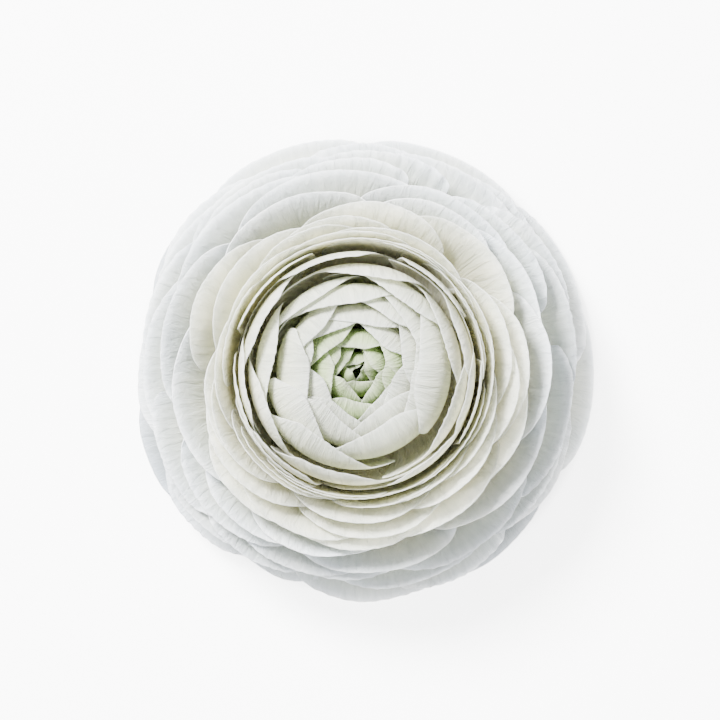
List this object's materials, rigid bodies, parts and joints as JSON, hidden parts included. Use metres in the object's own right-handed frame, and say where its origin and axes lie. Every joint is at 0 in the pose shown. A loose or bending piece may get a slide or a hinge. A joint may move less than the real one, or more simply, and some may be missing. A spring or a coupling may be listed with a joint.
{
  "type": "ranunculus flower",
  "caption": "Fully open double ranunculus bloom with nested ruffled white petals round a closed green-tinged heart, cut on a short stub of stem and lying face up.",
  "frame": {"origin": "centre of the bloom's outline, on the surface that the cut stem and the sepals rest on", "axes": "+Z is the way the flower faces; the stem's own axis runs along Z, 2.0 mm towards -X and 1.2 mm towards -Y of the origin"},
  "size_m": [0.0915, 0.0935, 0.0429],
  "materials": {
    "petal": "soft matt white petal tissue, faintly translucent",
    "heart": "soft matt yellow-green innermost petals",
    "sepal": "matt downy green sepal",
    "stem": "satin green plant stem"
  },
  "bodies": {
    "root": {"stem": "stem", "heart": "heart", "sepal_1": "sepal", "sepal_2": "sepal", "sepal_3": "sepal", "sepal_4": "sepal", "sepal_5": "sepal", "petal_01": "petal", "petal_02": "petal", "petal_03": "petal", "petal_04": "petal", "petal_05": "petal", "petal_06": "petal", "petal_07": "petal", "petal_08": "petal", "petal_09": "petal", "petal_10": "petal", "petal_11": "petal", "petal_12": "petal", "petal_13": "petal", "petal_14": "petal", "petal_15": "petal", "petal_16": "petal", "petal_17": "petal", "petal_18": "petal", "petal_19": "petal", "petal_20": "petal", "petal_21": "petal", "petal_22": "petal", "petal_23": "petal", "petal_24": "petal", "petal_25": "petal", "petal_26": "petal", "petal_27": "petal", "petal_28": "petal", "petal_29": "petal", "petal_30": "petal", "petal_31": "petal", "petal_32": "petal", "petal_33": "petal", "petal_34": "petal", "petal_35": "petal", "petal_36": "petal", "petal_37": "petal", "petal_38": "petal", "petal_39": "petal", "petal_40": "petal", "petal_41": "petal", "petal_42": "petal", "petal_43": "petal", "petal_44": "petal", "petal_45": "petal", "petal_46": "petal", "petal_47": "petal", "petal_48": "petal", "petal_49": "petal", "petal_50": "petal", "petal_51": "petal", "petal_52": "petal", "petal_53": "petal"}
  },
  "joints": []
}
